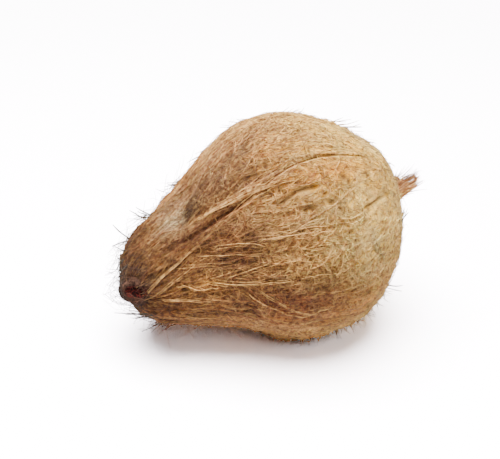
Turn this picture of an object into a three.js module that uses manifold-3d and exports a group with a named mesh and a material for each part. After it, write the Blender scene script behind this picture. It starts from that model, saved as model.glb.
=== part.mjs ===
// A mature coconut, part husked, lying on its side: a round nut under a coat of matted
// fibre, a cone-shaped fibre tuft over the eyes that ends in the dark knob of the old
// stalk, and a short frayed point at the other end. It grew as one piece, so it is one mesh.
//
// Millimetres, +Z up. The nut's long axis runs along X, with the tuft towards -X and
// drooping. The origin is at the middle of the footprint, on the surface it rests on.

import * as THREE from "three";
import { mergeVertices } from "three/addons/utils/BufferGeometryUtils.js";
import Module from "manifold-3d";

const degrees = THREE.MathUtils.degToRad;

// Driving dimensions. Lengths along the nut's own axis are from the middle of the round body.
const BODY_RADIUS = 58.2;
const TUFT_HALF_ANGLE = degrees(26);
const NOSE_START = -70; // where the tuft's straight side turns in
const NOSE_FULLNESS = new THREE.Vector2(24, -92); // control point of the blunt nose
const KNOB_RADIUS = 8.2;
const KNOB_ROOT = -92.5;
const KNOB_TIP = -98.5;
const POINT_ROOT = 54; // the frayed point starts inside the body
const RIDGE_COUNT = 3;
const RIDGE_HEIGHT = 1.5;
const RIDGE_SHARPNESS = 5;
const RIDGE_ROLL = degrees(36); // of the first ridge, from straight up
const TRIANGULAR_SHARE = 0.012; // how far the section is from round, as a share of its radius
const TUFT_LEAN = 8.5; // sideways, at the knob
const TUFT_LEAN_ROLL = degrees(150); // towards the front and down
const LUMP_HEIGHT = 0.5;

// Soft dents in the coat, and bulges where the depth is negative.
const DENTS = {
  shoulderHollow: { depth: 2, at: -50, roll: degrees(17), long: 11, wide: 0.34 },
  crease: { depth: 1.6, at: -14, roll: degrees(29), long: 42, wide: 0.08 },
  shoulder: { depth: -2.8, at: -24, roll: degrees(-30), long: 24, wide: 0.75 },
  throat: { depth: 3.2, at: -46, roll: degrees(146), long: 26, wide: 0.55 },
  chin: { depth: 4, at: -85, roll: degrees(148), long: 11, wide: 0.75 },
  heel: { depth: -3.6, at: -29, roll: Math.PI, long: 16, wide: 0.36 },
  cheek: { depth: -1.6, at: 30, roll: degrees(140), long: 20, wide: 0.6 },
};

const DROOP = degrees(12); // of the tuft, from level
const FLAT_DEPTH = 1.6; // pressed off the underside by its own weight
const AROUND = 72;
const ALONG = 46;

const FIBRE_BROWN = 0xa87a4e;

const wasm = await Module();
wasm.setup();

const square = (t) => t * t;

// The outline of the nut and tuft, from the knob's tip to the far pole, as (radius, axis).
function outline() {
  const shoulder = -BODY_RADIUS * Math.sin(TUFT_HALF_ANGLE);
  const shoulderRadius = BODY_RADIUS * Math.cos(TUFT_HALF_ANGLE);
  const noseRadius = shoulderRadius - (shoulder - NOSE_START) * Math.tan(TUFT_HALF_ANGLE);
  const path = new THREE.Path();
  path.moveTo(0, KNOB_TIP);
  path.absellipse(0, KNOB_ROOT, KNOB_RADIUS, KNOB_ROOT - KNOB_TIP, -Math.PI / 2, 0);
  path.quadraticCurveTo(NOSE_FULLNESS.x, NOSE_FULLNESS.y, noseRadius, NOSE_START);
  path.lineTo(shoulderRadius, shoulder);
  path.absarc(0, 0, BODY_RADIUS, -TUFT_HALF_ANGLE, Math.PI / 2);
  const points = path.getSpacedPoints(ALONG);
  points[0].x = 0;
  points[ALONG].x = 0;
  return points;
}

// How far a soft round dent reaches in at this place, which is its depth in the middle.
function dent({ depth, at, roll, long, wide }, along, angle) {
  const turn = Math.atan2(Math.sin(angle - roll), Math.cos(angle - roll));
  return depth * Math.exp(-square((along - at) / long) - square(turn / wide));
}

// The radius at a place on the surface, from the plain outline's radius there.
function grownRadius(radius, along, angle) {
  const bodyShare = THREE.MathUtils.smoothstep(radius, 0.35 * BODY_RADIUS, 0.9 * BODY_RADIUS);
  const ridgeAngle = RIDGE_COUNT * (angle - RIDGE_ROLL);
  const ridge = RIDGE_HEIGHT * Math.exp(RIDGE_SHARPNESS * (Math.cos(ridgeAngle) - 1));
  const section = TRIANGULAR_SHARE * radius * Math.cos(ridgeAngle);
  const lumps = LUMP_HEIGHT * Math.sin(along / 11 + 2 * angle) * Math.cos(along / 17 - 3 * angle + 1);
  const dented = Object.values(DENTS).reduce((sum, place) => sum + dent(place, along, angle), 0);
  return radius + bodyShare * (ridge + section + lumps) - dented;
}

// The nut on its own axis, which is Y here. Angles go round it from +Z towards +X.
function nutGeometry() {
  const geometry = new THREE.LatheGeometry(outline(), AROUND);
  const place = geometry.getAttribute("position");
  for (let i = 0; i < place.count; i++) {
    const along = place.getY(i);
    const radius = Math.hypot(place.getX(i), place.getZ(i));
    if (radius < 1e-6) place.setXYZ(i, 0, along, 0);
    else {
      const angle = Math.atan2(place.getX(i), place.getZ(i));
      const grown = grownRadius(radius, along, angle);
      place.setXYZ(i, grown * Math.sin(angle), along, grown * Math.cos(angle));
    }
    const lean = TUFT_LEAN * square(Math.min(along, 0) / KNOB_TIP);
    place.setX(i, place.getX(i) + lean * Math.sin(TUFT_LEAN_ROLL));
    place.setZ(i, place.getZ(i) + lean * Math.cos(TUFT_LEAN_ROLL));
  }
  return geometry;
}

// One stiff spike of the frayed point, leaning off the nut's axis by two small angles.
function spikeGeometry({ length, root, tip, leanX, leanZ, offX, offZ }) {
  const geometry = new THREE.CylinderGeometry(tip, root, length, 12, 3);
  geometry.translate(0, length / 2, 0);
  geometry.rotateX(leanX);
  geometry.rotateZ(leanZ);
  geometry.translate(offX, POINT_ROOT, offZ);
  return geometry;
}

const SPIKES = [
  { length: 12, root: 6.6, tip: 2.4, leanX: 0.1, leanZ: 0, offX: 0, offZ: 0 },
  { length: 16.5, root: 4.4, tip: 0.9, leanX: 0.22, leanZ: 0.04, offX: 0, offZ: 0.6 },
  { length: 11.5, root: 4, tip: 1, leanX: -0.1, leanZ: -0.12, offX: 1, offZ: -1.4 },
];

function solidOf(geometry) {
  const plain = geometry.clone();
  plain.deleteAttribute("normal");
  plain.deleteAttribute("uv");
  const merged = mergeVertices(plain, 1e-3);
  return new wasm.Manifold(
    new wasm.Mesh({
      numProp: 3,
      vertProperties: merged.getAttribute("position").array,
      triVerts: new Uint32Array(merged.index.array),
    }),
  );
}

function geometryOf(solid) {
  const mesh = solid.getMesh();
  const place = new Float32Array(mesh.numVert * 3);
  for (let i = 0; i < mesh.numVert; i++) {
    place.set(mesh.vertProperties.subarray(i * mesh.numProp, i * mesh.numProp + 3), i * 3);
  }
  const geometry = new THREE.BufferGeometry();
  geometry.setAttribute("position", new THREE.BufferAttribute(place, 3));
  geometry.setIndex(new THREE.BufferAttribute(new Uint32Array(mesh.triVerts), 1));
  return geometry;
}

// Lays a geometry made on the Y axis down along X, with the tuft's end low.
function laidDown(geometry) {
  const along = new THREE.Vector3(Math.cos(DROOP), 0, Math.sin(DROOP));
  const up = new THREE.Vector3(-Math.sin(DROOP), 0, Math.cos(DROOP));
  const side = new THREE.Vector3().crossVectors(along, up);
  return geometry.applyMatrix4(new THREE.Matrix4().makeBasis(side, along, up));
}

// The whole coconut, standing on the flat that its weight presses into the underside.
function coconutGeometry() {
  let solid = solidOf(laidDown(nutGeometry()));
  for (const spike of SPIKES) solid = solid.add(solidOf(laidDown(spikeGeometry(spike))));

  const whole = new THREE.Box3().setFromBufferAttribute(geometryOf(solid).getAttribute("position"));
  const size = whole.getSize(new THREE.Vector3());
  const below = new THREE.BoxGeometry(2 * size.x, 2 * size.y, size.z);
  below.translate(0, 0, whole.min.z + FLAT_DEPTH - size.z / 2);
  const geometry = geometryOf(solid.subtract(solidOf(below)));

  geometry.computeBoundingBox();
  const { min, max } = geometry.boundingBox;
  geometry.translate(-(min.x + max.x) / 2, -(min.y + max.y) / 2, -min.z);
  geometry.computeVertexNormals();
  return geometry;
}

const coconut = new THREE.Mesh(
  coconutGeometry(),
  new THREE.MeshStandardMaterial({ color: FIBRE_BROWN, roughness: 0.95, metalness: 0 }),
);
coconut.name = "coconut";

const part = new THREE.Group();
part.add(coconut);

export default part;
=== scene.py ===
"""A part-husked coconut lying on its side: a matted fibre coat, the tuft over its eyes,
the old stalk's dark knob, the frayed point at the other end and every loose hair."""

import math
from typing import NamedTuple

import bpy
import numpy as np
from bpy.props import FloatProperty, FloatVectorProperty, IntProperty, PointerProperty
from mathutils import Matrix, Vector
from mathutils.bvhtree import BVHTree


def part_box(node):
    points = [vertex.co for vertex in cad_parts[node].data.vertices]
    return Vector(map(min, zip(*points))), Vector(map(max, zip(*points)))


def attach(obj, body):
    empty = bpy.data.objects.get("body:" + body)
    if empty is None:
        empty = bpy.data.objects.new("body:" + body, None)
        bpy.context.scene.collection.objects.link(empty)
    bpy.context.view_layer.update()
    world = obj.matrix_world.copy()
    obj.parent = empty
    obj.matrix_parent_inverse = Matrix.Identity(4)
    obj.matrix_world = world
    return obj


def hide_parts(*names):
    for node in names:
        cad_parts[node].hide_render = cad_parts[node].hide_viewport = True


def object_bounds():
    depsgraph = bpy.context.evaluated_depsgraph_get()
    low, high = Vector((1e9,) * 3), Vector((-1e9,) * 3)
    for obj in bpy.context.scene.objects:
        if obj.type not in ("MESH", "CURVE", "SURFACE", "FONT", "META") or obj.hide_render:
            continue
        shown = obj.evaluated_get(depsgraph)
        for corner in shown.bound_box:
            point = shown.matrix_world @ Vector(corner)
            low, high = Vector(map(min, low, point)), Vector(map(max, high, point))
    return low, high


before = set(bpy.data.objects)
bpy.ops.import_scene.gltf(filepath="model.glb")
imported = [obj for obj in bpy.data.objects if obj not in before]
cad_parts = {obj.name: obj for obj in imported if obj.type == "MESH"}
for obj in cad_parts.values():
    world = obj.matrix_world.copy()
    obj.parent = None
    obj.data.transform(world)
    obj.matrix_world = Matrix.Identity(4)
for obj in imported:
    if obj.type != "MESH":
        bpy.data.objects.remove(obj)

bl_info = {
    "name": "Part-husked Coconut",
    "version": (1, 0, 0),
    "blender": (4, 5, 0),
    "location": "View3D > Sidebar > Coconut",
    "description": "Builds a part-husked coconut with its fibre coat, tuft, knob and stage",
    "category": "Add Mesh",
}

CAD_BOX = [list(corner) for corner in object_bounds()]
MM = 0.001
TAU = 2 * math.pi
NODE = "coconut"
BODY = "root"

# ---------------------------------------------------------------- the nut's own directions

LOW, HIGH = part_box(NODE)
BODY_RADIUS = 58.2 * MM
POINT_END = 68.1 * MM  # from the middle of the round body, level
BODY_FORWARD = 1.4 * MM  # the body is this much nearer the front than the middle of the box
NUT_CENTRE = np.array(
    (HIGH.x - POINT_END, (LOW.y + HIGH.y) / 2 - BODY_FORWARD, HIGH.z - BODY_RADIUS)
)
DROOP = math.radians(12)  # of the tuft, from level
ALONG = np.array((math.cos(DROOP), 0, math.sin(DROOP)))
UP = np.array((-math.sin(DROOP), 0, math.cos(DROOP)))
SIDE = np.cross(ALONG, UP)  # towards the front
TUFT_LEAN = 8.5 * MM  # sideways, at the knob's end
TUFT_LENGTH = 98.5 * MM
LEAN_TURN = math.radians(150)
LEAN_WAY = SIDE * math.sin(LEAN_TURN) + UP * math.cos(LEAN_TURN)

RINGS = 258  # of the coat's grid, from the knob to the frayed point
SPOKES = 380  # and around it


def hexed(code):
    """A colour written as six hex digits, as linear red, green and blue."""
    parts = [int(code[i : i + 2], 16) / 255 for i in (0, 2, 4)]
    return tuple(c / 12.92 if c < 0.04045 else ((c + 0.055) / 1.055) ** 2.4 for c in parts)


def smooth(low, high, value):
    """0 below low, 1 above high and smooth between."""
    t = np.clip((value - low) / (high - low), 0, 1)
    return t * t * (3 - 2 * t)


def unit(vectors):
    """Vectors brought to length 1."""
    length = np.linalg.norm(vectors, axis=-1, keepdims=True)
    return vectors / np.maximum(length, 1e-12)


def axis_point(along):
    """The point of the nut's centre line at this distance along it, in metres."""
    along = np.asarray(along, float)[..., None]
    lean = TUFT_LEAN * (np.minimum(along, 0) / TUFT_LENGTH) ** 2
    return NUT_CENTRE + ALONG * along + LEAN_WAY * lean


def outward(turn):
    """The direction away from the centre line, at an angle from the top towards the front."""
    return UP * np.cos(turn)[..., None] + SIDE * np.sin(turn)[..., None]


class Clumps:
    """Smooth random values in space, with lumps about one size across."""

    CELLS = 24

    def __init__(self, seed, size):
        self.size = size
        self.lattice = np.random.default_rng(seed).standard_normal((self.CELLS,) * 3)

    def __call__(self, points):
        place = points / self.size
        cell = np.floor(place).astype(int)
        t = place - cell
        t = t * t * (3 - 2 * t)
        total = 0
        for corner in np.ndindex(2, 2, 2):
            i, j, k = ((cell[..., a] + corner[a]) % self.CELLS for a in range(3))
            share = np.prod([t[..., a] if corner[a] else 1 - t[..., a] for a in range(3)], axis=0)
            total = total + share * self.lattice[i, j, k]
        return total


class Streaks:
    """Smooth random values over the coat that run along it and close up around it."""

    def __init__(self, seed, rows, columns):
        self.rows, self.columns = rows, columns
        self.lattice = np.random.default_rng(seed).standard_normal((rows + 2, columns))

    def __call__(self, run, turn):
        run, turn = np.broadcast_arrays(run, turn)
        i, j = np.clip(run, 0, 1) * self.rows, (turn / TAU % 1) * self.columns
        i0, j0 = np.floor(i).astype(int), np.floor(j).astype(int) % self.columns
        ti, tj = i - np.floor(i), j - np.floor(j)
        ti, tj = ti * ti * (3 - 2 * ti), tj * tj * (3 - 2 * tj)
        j1, grid = (j0 + 1) % self.columns, self.lattice
        near = grid[i0, j0] * (1 - tj) + grid[i0, j1] * tj
        far = grid[i0 + 1, j0] * (1 - tj) + grid[i0 + 1, j1] * tj
        return near * (1 - ti) + far * ti


class Coat:
    """The coat's surface, as a grid of points by run and turn. Run goes from 0 at the knob
    to 1 at the frayed point, evenly along the surface. Turn is the angle around it."""

    # Rays leave the centre line all the way along. At each share of the way, these are the
    # place they start from and their tilt in degrees.
    RAY_SHARE = (0, 0.18, 0.62, 1)
    RAY_START = (-76 * MM, -76 * MM, 0, 0)
    RAY_TILT = (-90, -30, -20, 90)
    DOME_TILT = math.radians(81)  # beyond this the frayed point is left out
    TRIAL_RINGS = 200
    TRIAL_SPOKES = 16

    def __init__(self):
        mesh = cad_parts[NODE].data
        self.solid = BVHTree.FromPolygons(
            [v.co for v in mesh.vertices], [p.vertices for p in mesh.polygons]
        )
        shares = np.linspace(0, 1, self.TRIAL_RINGS)
        trial = self.cast(shares, np.arange(self.TRIAL_SPOKES) * TAU / self.TRIAL_SPOKES)
        lengths = np.linalg.norm(np.diff(trial, axis=0), axis=-1).mean(1)
        reach = np.concatenate(([0], np.cumsum(lengths)))
        self.length = reach[-1]
        even = np.interp(np.linspace(0, self.length, RINGS + 1), reach, shares)
        self.run = np.linspace(0, 1, RINGS + 1)[:, None]
        self.turn = (np.arange(SPOKES) * TAU / SPOKES)[None, :]
        self.points = self.cast(even, self.turn[0])
        self.lengthwise = unit(np.gradient(self.points, axis=0))
        around = np.roll(self.points, -1, axis=1) - np.roll(self.points, 1, axis=1)
        around[0] = around[-1] = 0
        self.normals = unit(np.cross(around, self.lengthwise))
        self.normals[0], self.normals[-1] = -ALONG, ALONG
        self.along = (self.points - NUT_CENTRE) @ ALONG
        self.along_mm = self.along / MM
        self.girth = np.linalg.norm(self.points - axis_point(self.along), axis=-1)

    def cast(self, shares, turns):
        """Where the rays of each share and turn leave the solid."""
        starts = np.interp(shares, self.RAY_SHARE, self.RAY_START)
        tilts = np.radians(np.interp(shares, self.RAY_SHARE, self.RAY_TILT))
        around = outward(turns)
        points = np.zeros((len(shares), len(turns), 3))
        for i, (start, tilt) in enumerate(zip(starts, tilts)):
            ways = around * math.cos(tilt) + ALONG * math.sin(tilt)
            if tilt > self.DOME_TILT:
                points[i] = NUT_CENTRE + ways * dome_radius
                continue
            origin = Vector(axis_point(start))
            for j, way in enumerate(ways):
                hit = self.solid.ray_cast(origin, Vector(way))[0]
                points[i, j] = hit if hit else points[i - 1, j]
            dome_radius = np.linalg.norm(points[i] - NUT_CENTRE, axis=-1).mean()
        return points

    def read(self, grid, run, turn):
        """A grid's values at any runs and turns."""
        i = np.clip(run, 0, 1) * RINGS
        j = (turn / TAU % 1) * SPOKES
        i0 = np.minimum(i.astype(int), RINGS - 1)
        j0 = j.astype(int) % SPOKES
        j1 = (j0 + 1) % SPOKES
        fi, fj = i - i0, j - np.floor(j)
        if grid.ndim == 3:
            fi, fj = fi[..., None], fj[..., None]
        near = grid[i0, j0] * (1 - fj) + grid[i0, j1] * fj
        far = grid[i0 + 1, j0] * (1 - fj) + grid[i0 + 1, j1] * fj
        return near * (1 - fi) + far * fi

    def run_at(self, along_mm):
        """The run whose distance along the centre line is this, in millimetres."""
        mean = np.maximum.accumulate(self.along.mean(1))
        return np.interp(np.asarray(along_mm) * MM, mean, self.run[:, 0])


# ---------------------------------------------------------------- what grows where

# Places on the coat: millimetres along the centre line and degrees of turn.
CREASE = (
    (-66, 38.3),
    (-59, 39.5),
    (-54, 40.5),
    (-47, 39.9),
    (-37, 38.5),
    (-26, 37.4),
    (-17, 35.2),
    (-8, 32),
    (3, 29.6),
    (15, 28.1),
    (30, 27.3),
    (42, 26.4),
)
CRACKS = (
    ((-12, 46), (-4.6, 44.4), (-0.6, 42.8), (5, 43), (10, 43.4)),
    ((-24, -15), (-13.7, -17.2), (-6.7, -18.3), (-0.6, -16.6), (4.5, -15.5), (12, -15)),
    ((26, -3.5), (31.7, 1.3), (35, 5), (40.3, 10.2), (45.7, 16.6), (49, 27)),
    ((30, 60.5), (36, 59.3), (40.4, 57.5), (44, 57)),
    ((-6, 118), (4, 121), (14, 122), (24, 126)),
    ((-30, 172), (-12, 168), (6, 166), (26, 168)),
    ((-44, 276), (-26, 279), (-8, 276), (12, 275), (34, 277)),
)
CRACK_WIDTH = 0.9 * MM
CRACK_DEPTH = 1.4  # millimetres
PIT_DEPTH = 1.1  # millimetres


def path_turn(path, along_mm):
    """The turn of a path at a distance along, in radians."""
    return np.radians(np.interp(along_mm, [p[0] for p in path], [p[1] for p in path]))


def turn_gap(turn, other):
    """From one turn to another the short way round, more than 0 if the first is farther on."""
    return (turn - other + math.pi) % TAU - math.pi


def groove(path, along_mm, turn, girth, width, ease, beside=0.0):
    """How deep in a groove each place is, from 0 to 1. The groove has a width and may lie
    beside its path, in metres, and it fades in and out over an ease in millimetres."""
    gap = turn_gap(turn, path_turn(path, along_mm)) * girth - beside
    ends = smooth(path[0][0] - ease, path[0][0] + ease, along_mm)
    ends = ends * (1 - smooth(path[-1][0] - ease, path[-1][0] + ease, along_mm))
    return np.exp(-((gap / width) ** 2)) * ends


def crease_opening(along_mm):
    """How open the crease is: 1 near the tuft, 0 at its thin end."""
    return 1 - smooth(-58, 4, along_mm)


def cracked(along_mm, turn, girth):
    """The cracks, from 0 to 1."""
    return np.max([groove(path, along_mm, turn, girth, CRACK_WIDTH, 4) for path in CRACKS], axis=0)


def creased(along_mm, turn, girth):
    """The shade in the crease and the cracks, from 0 to 1."""
    width = (0.65 + 0.35 * crease_opening(along_mm)) * MM
    main = groove(CREASE, along_mm, turn, girth, width, 7)
    return np.maximum(main, 0.85 * cracked(along_mm, turn, girth))


def crease_offset(along_mm, turn, girth):
    """How far to the side of the crease each place is, in half widths, up to 6 either way."""
    gap = turn_gap(turn, path_turn(CREASE, along_mm)) * girth / MM
    width = 0.5 + 0.25 * crease_opening(along_mm)
    start, end = CREASE[0][0], CREASE[-1][0]
    ends = smooth(start - 3, start + 6, along_mm) * (1 - smooth(end - 12, end + 2, along_mm))
    return np.clip(gap / width / np.maximum(ends, 0.01), -6, 6)


def patch(along_mm, turn, at, spread):
    """A soft patch around a place, from 0 to 1. Spread is in millimetres and degrees."""
    far = ((along_mm - at[0]) / spread[0]) ** 2
    far = far + (turn_gap(turn, math.radians(at[1])) / math.radians(spread[1])) ** 2
    return np.exp(-far)


def fineness(points, along_mm, turn):
    """How close and felted the coat is: 0 in the combed tuft, 1 on the far round side."""
    drift = Clumps(11, 16 * MM)(points)
    fine = smooth(-22, 34, along_mm + 9 * drift)
    over = turn_gap(path_turn(CREASE, along_mm), turn)  # how far above the crease
    above = smooth(-0.15, 0.25, over) * (1 - smooth(1.5, 2.2, over))
    return np.maximum(fine, 0.72 * above * smooth(-62, -30, along_mm + 5 * drift))


# The coat's colour along the nut: millimetres along, and the colour there.
COAT_RAMP = (
    (-98, hexed("1c0f09")),
    (-92, hexed("32170a")),
    (-85, hexed("532b12")),
    (-77, hexed("774a20")),
    (-69, hexed("976836")),
    (-50, hexed("a6743f")),
    (-25, hexed("ab7c46")),
    (0, hexed("bd9250")),
    (25, hexed("ceab5c")),
    (60, hexed("d1b068")),
)
# Each patch: its place, its spread, its colour and how much of it shows.
COAT_PATCHES = (
    ((-86, 25), (8, 38), hexed("46220f"), 0.8),
    ((-34, 12), (24, 15), hexed("765134"), 0.9),
    ((-59.5, 16), (8, 13), hexed("d6ba88"), 0.88),
    # Painted shade: the dark of the shoulder's hollow, above the crease.
    ((-49.5, 21), (5.5, 8), hexed("3a2012"), 1.0),
    ((-84, 115), (10, 30), hexed("96602e"), 0.85),
    ((-84, 62), (5, 16), hexed("48230f"), 0.8),
    ((2, 106), (32, 15), hexed("8a4a1e"), 0.8),
    ((-41, 52), (13, 8), hexed("754821"), 0.6),
    ((-12, 98), (17, 10), hexed("7e3610"), 0.95),
    ((-35, 99), (13, 11), hexed("65310f"), 0.85),
    ((-37, 68), (10, 9), hexed("663a1c"), 0.75),
    ((-30, 57), (9, 7), hexed("704421"), 0.6),
    ((-54, 80), (10, 7), hexed("d69c4c"), 0.6),
    ((-48, 49), (12, 6), hexed("7a4a20"), 0.6),
    ((18, 36), (20, 8), hexed("c0852f"), 0.7),
    ((-2, 14), (18, 10), hexed("b38439"), 0.65),
    # Painted shade: the top darker, to offset the lamp overhead.
    ((10, -22), (26, 22), hexed("b58c44"), 0.55),
    # Painted light: the front of the round end lighter, as if lit more from the front.
    ((30, 80), (24, 28), hexed("e6c478"), 0.7),
    # Painted light: the lower front lighter, for light thrown up by the floor.
    ((20, 125), (30, 14), hexed("b8864e"), 0.6),
    ((-30, 200), (24, 20), hexed("6f4220"), 0.6),
    ((-10, 285), (24, 18), hexed("7a4f34"), 0.6),
    ((-58, 300), (7, 9), hexed("d0b284"), 0.8),
    ((20, 230), (20, 16), hexed("8a562a"), 0.5),
)
# Small dark flecks in the felt, each sunk as a shallow pit: a place and a spread.
FLECKS = (
    ((24.6, 41.4), (2, 2.2)),
    ((26.6, 43.6), (1.3, 2.2)),
    ((-24.6, 6.6), (1.5, 1.5)),
    ((-22, 19.3), (1.2, 1.6)),
    ((-10.4, 24.4), (1.6, 1.3)),
    ((-9.3, 16.3), (1.6, 1)),
    ((4.2, 19.5), (2, 1.1)),
    ((4, 53.3), (1.2, 2.4)),
    ((14.2, 52.3), (1.4, 1)),
    ((38.3, 41.3), (1, 1.2)),
    ((12.2, 47.3), (1.5, 1)),
    ((32.8, 61.8), (1.1, 1)),
    ((33.8, 36.2), (1.4, 1)),
    ((-55, 27), (1.8, 2)),
    ((31, 20), (1.2, 1)),
    ((19.8, 69.7), (1.4, 1.2)),
    ((2.9, 52), (1.3, 1.1)),
    ((-18, -8), (1.4, 1.2)),
    ((-14, 4), (1.2, 1.4)),
    ((-30, -4), (1.6, 1.6)),
    ((-40, 8), (1.8, 1.6)),
    ((-18, 160), (2, 2)),
    ((8, 205), (2.2, 1.6)),
    ((24, 262), (2, 1.6)),
    ((-6, 318), (2, 1.6)),
    ((30, 330), (1.5, 1.3)),
)
# Painted shade: the brown that darkens the crease's valley.
CREASE_SHADE_BROWN = hexed("5e2c0f")
# Dark for the flecks, and painted shade in the cracks.
DARK_FLECK_AND_CRACK_SHADE = hexed("3a2411")  # under a fleck or a crack
WARMTH = (0.03, -0.01, -0.12)  # how red, green and blue change where the coat is warmer


def mixed(colour, tone, share):
    """A colour at each place, mixed with one tone by a share from 0 to 1."""
    share = share[..., None]
    return colour * (1 - share) + np.array(tone) * share


def pitted(points):
    """Where the fibres part and leave a pit, from 0 to 1: it is sunk, and painted shade darkens it."""
    return smooth(0.95, 1.7, Clumps(35, 2.1 * MM)(points) + 0.7 * Clumps(36, 7 * MM)(points))


def flecked(along_mm, turn):
    """The torn flecks, from 0 to 1."""
    return np.max([patch(along_mm, turn, at, spread) for at, spread in FLECKS], axis=0)


def coat_colour(points, along_mm, turn, girth):
    """The coat's broad colour at each place, with painted shade in the crease, the cracks and a few
    patches, and painted light in others.
    """
    shifted = along_mm + 6 * Clumps(21, 14 * MM)(points)
    stops, tones = zip(*COAT_RAMP)
    colour = np.stack([np.interp(shifted, stops, channel) for channel in zip(*tones)], -1)
    ragged = 1 + 0.55 * Clumps(22, 5 * MM)(points)
    for at, spread, tone, amount in COAT_PATCHES:
        share = np.clip(patch(along_mm, turn, at, spread) * amount * ragged, 0, 1)
        colour = mixed(colour, tone, share)
    opened = crease_opening(along_mm)
    # Painted shade in the crease's valley, widest and darkest where it is open.
    valley_shade = groove(CREASE, along_mm, turn, girth, (0.8 + 3 * opened) * MM, 6, 0.8 * MM * opened)
    colour = mixed(colour, CREASE_SHADE_BROWN, valley_shade * np.clip(0.25 + 0.75 * opened, 0, 1))
    # The flecks darkened, and painted shade in the cracks.
    flecks_and_crack_shade = np.maximum(0.8 * flecked(along_mm, turn), 0.65 * cracked(along_mm, turn, girth))
    colour = mixed(colour, DARK_FLECK_AND_CRACK_SHADE, flecks_and_crack_shade)
    warm = Clumps(23, 7 * MM)(points)[..., None]
    cloud = 0.1 * Clumps(24, 9 * MM)(points) + 0.08 * Clumps(25, 3.5 * MM)(points)
    return colour * np.exp(warm * WARMTH + cloud[..., None])


# The section across the crease: its bed, then each lip. Each has a height, a width and a place
# beside the crease in millimetres, as they are at its thin end and what the open end adds.
CREASE_SECTION = (
    ((-1.3, -0.5), (0.8, 2.4), (0, 0)),
    ((0.6, 0.9), (2, 0), (-2, -1.4)),
    ((0.5, 0.4), (2.4, 0), (2.2, 1.8)),
)
# Broad swellings of the coat, and hollows below 0: a height in millimetres, a place and a spread.
SWELLINGS = (
    (-2.2, (-94, 125), (7, 50)),
    (-2.2, (-64, 145), (27, 34)),
    (-1.3, (-35, 150), (12, 28)),
    (2.4, (52, 20), (7, 50)),
)


def relief(points, run, turn, along_mm, girth):
    """How far the coat stands out from the plain solid at each place, in metres."""
    fine = fineness(points, along_mm, turn)
    streaks = 0.34 * Streaks(31, 14, 150)(run, turn) + 0.2 * Streaks(32, 34, 260)(run, turn)
    lumps = 0.55 * Clumps(33, 7 * MM)(points) + 0.4 * Clumps(34, 3.2 * MM)(points)
    pits = PIT_DEPTH * np.maximum(pitted(points), flecked(along_mm, turn))
    rise = streaks * (1.1 - 0.8 * fine) + lumps * (1 - 0.72 * fine) - pits * (1 - 0.6 * fine)
    rise = rise * smooth(-97, -88, along_mm) * (1 - smooth(52, 57, along_mm))
    opened = crease_opening(along_mm)
    for form in CREASE_SECTION:
        height, width, beside = (closed + added * opened for closed, added in form)
        rise = rise + height * groove(CREASE, along_mm, turn, girth, width * MM, 7, beside * MM)
    for height, at, spread in SWELLINGS:
        rise = rise + height * patch(along_mm, turn, at, spread)
    rise = rise - CRACK_DEPTH * cracked(along_mm, turn, girth)
    off_floor = smooth(1.5, 9, points[..., 2] / MM)
    top = patch(along_mm, turn, (8, -25), (26, 50))
    return (rise - 0.8 * off_floor * (1 - 1.9 * top)) * MM


def grown_coat():
    """The coat with its relief, and with what grows where at each point of its grid."""
    coat = Coat()
    points, along_mm, turn = coat.points, coat.along_mm, coat.turn
    rise = relief(points, coat.run, turn, along_mm, coat.girth)
    coat.smooth_points = points
    coat.points = points + coat.normals * rise[..., None]
    coat.points[..., 2] = np.maximum(coat.points[..., 2], 0)
    coat.colour = coat_colour(points, along_mm, turn, coat.girth)
    coat.fine = fineness(points, along_mm, turn)
    coat.flecks = flecked(along_mm, turn)
    coat.pits = np.maximum(pitted(points) * (1 - 0.5 * coat.fine), coat.flecks)
    coat.creases = creased(along_mm, turn, coat.girth)
    coat.locks = Clumps(41, 2.2 * MM)(points) + Clumps(42, 5 * MM)(points)
    return coat


coat = grown_coat()

# ---------------------------------------------------------------- settings


def colour_setting(name, description, code):
    return FloatVectorProperty(
        name=name, description=description, subtype="COLOR", default=hexed(code)
    )


def length_setting(name, description, metres):
    return FloatProperty(
        name=name, description=description, subtype="DISTANCE", unit="LENGTH", default=metres
    )


def angle_setting(name, description, degrees):
    return FloatProperty(
        name=name, description=description, subtype="ANGLE", default=math.radians(degrees)
    )


def count_setting(name, description, count):
    return IntProperty(name=name, description=description, default=count, min=1)


class CoatSettings(bpy.types.PropertyGroup):
    hair_scale: FloatProperty(
        name="Hair scale", description="Tangled hairs across a metre of coat", default=900, min=10
    )
    # Painted shade in the coat's gaps, pits and crease, in the coarse coat and in the felt.
    pit_colour: colour_setting("Pit colour", "Dark between the fibres", "50280d")
    fine_pit_colour: colour_setting("Fine pit colour", "The same, in the felt", "5e401d")
    hair_colour: colour_setting("Hair colour", "Palest felted hair", "e6c27c")


class FibreSettings(bpy.types.PropertyGroup):
    combed: count_setting("Combed", "Long fibres of the tuft", 8600)
    matted: count_setting("Matted", "Close fibres of the mat", 10200)
    curls: count_setting("Curls", "Pale curls on top of the mat", 5200)
    felted: count_setting("Felted", "Short fibres of the round side", 12500)
    pale: count_setting("Pale", "Thick pale strands on top", 420)
    fuzz: count_setting("Fuzz", "Short hairs all over", 5200)
    lips: count_setting("Lips", "Fibres along the crease", 760)
    loose: count_setting("Loose", "Hairs that stand off the coat", 1500)
    ends: count_setting("Ends", "Fibres of the frayed point", 330)
    pale_colour: colour_setting("Pale strand", "Sun-bleached strand", "d9ac68")
    dark_colour: colour_setting("Dark strand", "Darkest strand", "5a3417")
    stiff_colour: colour_setting("Stiff hair", "Weathered dark hair", "3a362b")
    end_colour: colour_setting("Frayed end", "Fresh fibre of the frayed point", "e0a468")
    nib_colour: colour_setting("Nib", "Dark tips of the frayed point", "45200f")


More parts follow.
